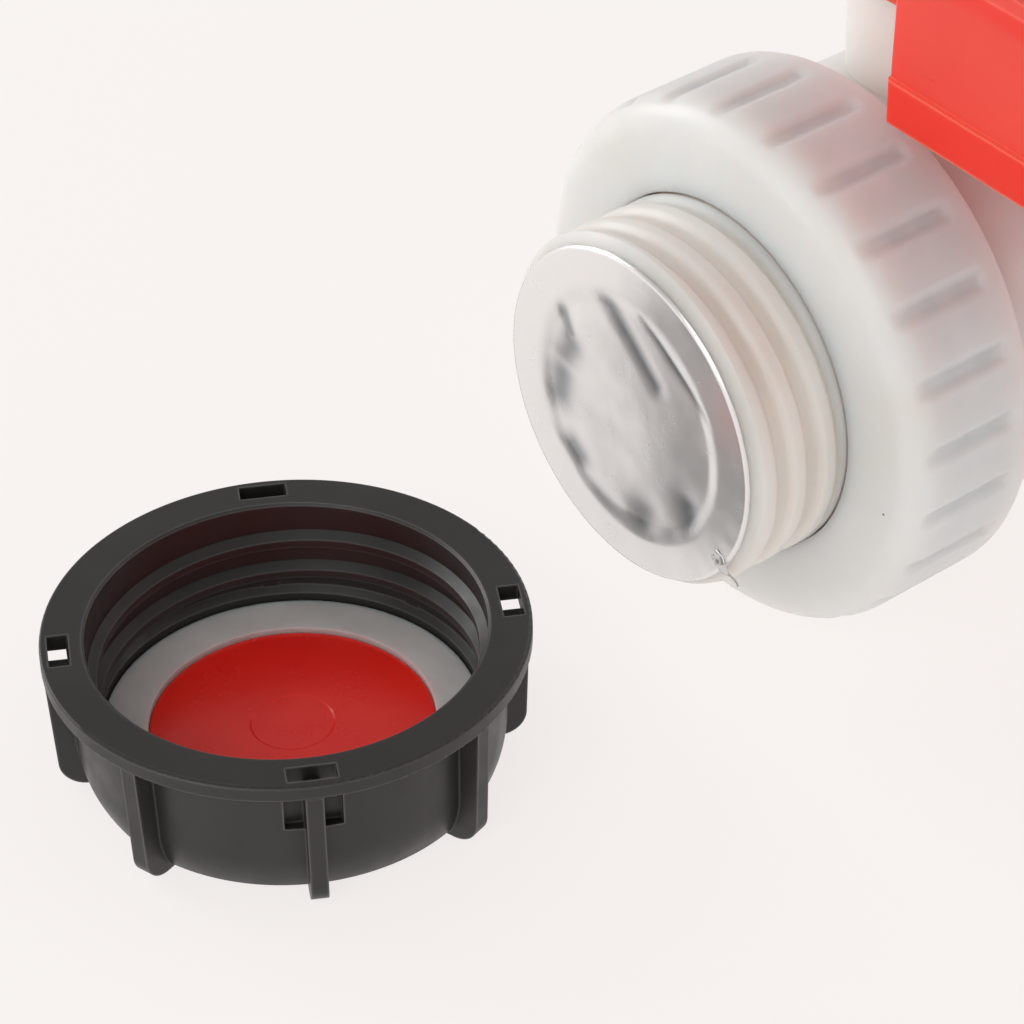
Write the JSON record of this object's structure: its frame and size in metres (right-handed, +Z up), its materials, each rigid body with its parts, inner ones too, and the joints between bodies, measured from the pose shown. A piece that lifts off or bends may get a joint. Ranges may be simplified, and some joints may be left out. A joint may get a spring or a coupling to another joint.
{
  "type": "tank outlet ball valve",
  "caption": "Quarter-turn plastic ball valve with a red lever, screwed inlet socket, union nut and foil-sealed threaded spout, with its black dust cap taken off.",
  "frame": {"origin": "centre of the inlet socket's mouth, on the flow axis", "axes": "+Y along the flow axis out of the inlet, towards the tank; the outlet is at -Y; +Z up along the stem; the lever lies along +X when the valve is closed"},
  "size_m": [0.1674, 0.2239, 0.12],
  "materials": {
    "natural_pp": "semi-gloss, milky translucent polypropylene",
    "red_pp": "semi-gloss moulded polypropylene",
    "black_pp": "satin moulded polypropylene",
    "ball_pp": "smooth polished polypropylene",
    "ptfe": "smooth waxy fluoropolymer",
    "white_rubber": "soft satin sealing foam",
    "black_rubber": "matt O-ring rubber",
    "clear_red": "glossy translucent plastic",
    "foil": "bright wrinkled sealing foil",
    "stainless": "bright stainless steel"
  },
  "bodies": {
    "valve_body": {"valve_body": "natural_pp", "inlet_gasket": "white_rubber", "inlet_seat": "ptfe", "inlet_seat_ring": "black_rubber", "outlet_seat": "ptfe", "outlet_seat_ring": "black_rubber", "seat_carrier": "natural_pp", "carrier_ring": "black_rubber"},
    "closure": {"ball": "ball_pp", "stem": "ball_pp", "stem_ring_lower": "black_rubber", "stem_ring_upper": "black_rubber", "thrust_washer": "ptfe", "handle": "red_pp", "handle_washer": "stainless", "handle_screw": "stainless", "handle_plug": "red_pp"},
    "outlet_end": {"outlet_spout": "natural_pp", "foil_seal": "foil", "spout_ring": "black_rubber"},
    "nut": {"union_nut": "natural_pp"},
    "cap": {"cap_shell": "black_pp", "cap_gasket": "white_rubber", "cap_disc": "clear_red"}
  },
  "joints": [
    {"name": "handle_turn", "type": "hinge", "parent": "valve_body", "child": "closure", "pos_m": [0, -0.059, 0.05], "axis": [0, 0, -1], "range_deg": [0, 90]},
    {"name": "spout_travel", "type": "slide", "parent": "valve_body", "child": "outlet_end", "axis": [0, -1, 0], "range_m": [0, 0.014]},
    {"name": "nut_turn", "type": "hinge", "parent": "outlet_end", "child": "nut", "pos_m": [0, -0.1, 0], "axis": [0, -1, 0], "range_deg": [0, 840]},
    {"name": "cap_lift", "type": "slide", "parent": "valve_body", "child": "cap", "axis": [0, 0, 1], "range_m": [0, 0.13]}
  ],
  "couplings": [
    {"joint": "spout_travel", "follows": "nut_turn", "m_per_rad": 0.00095492}
  ]
}
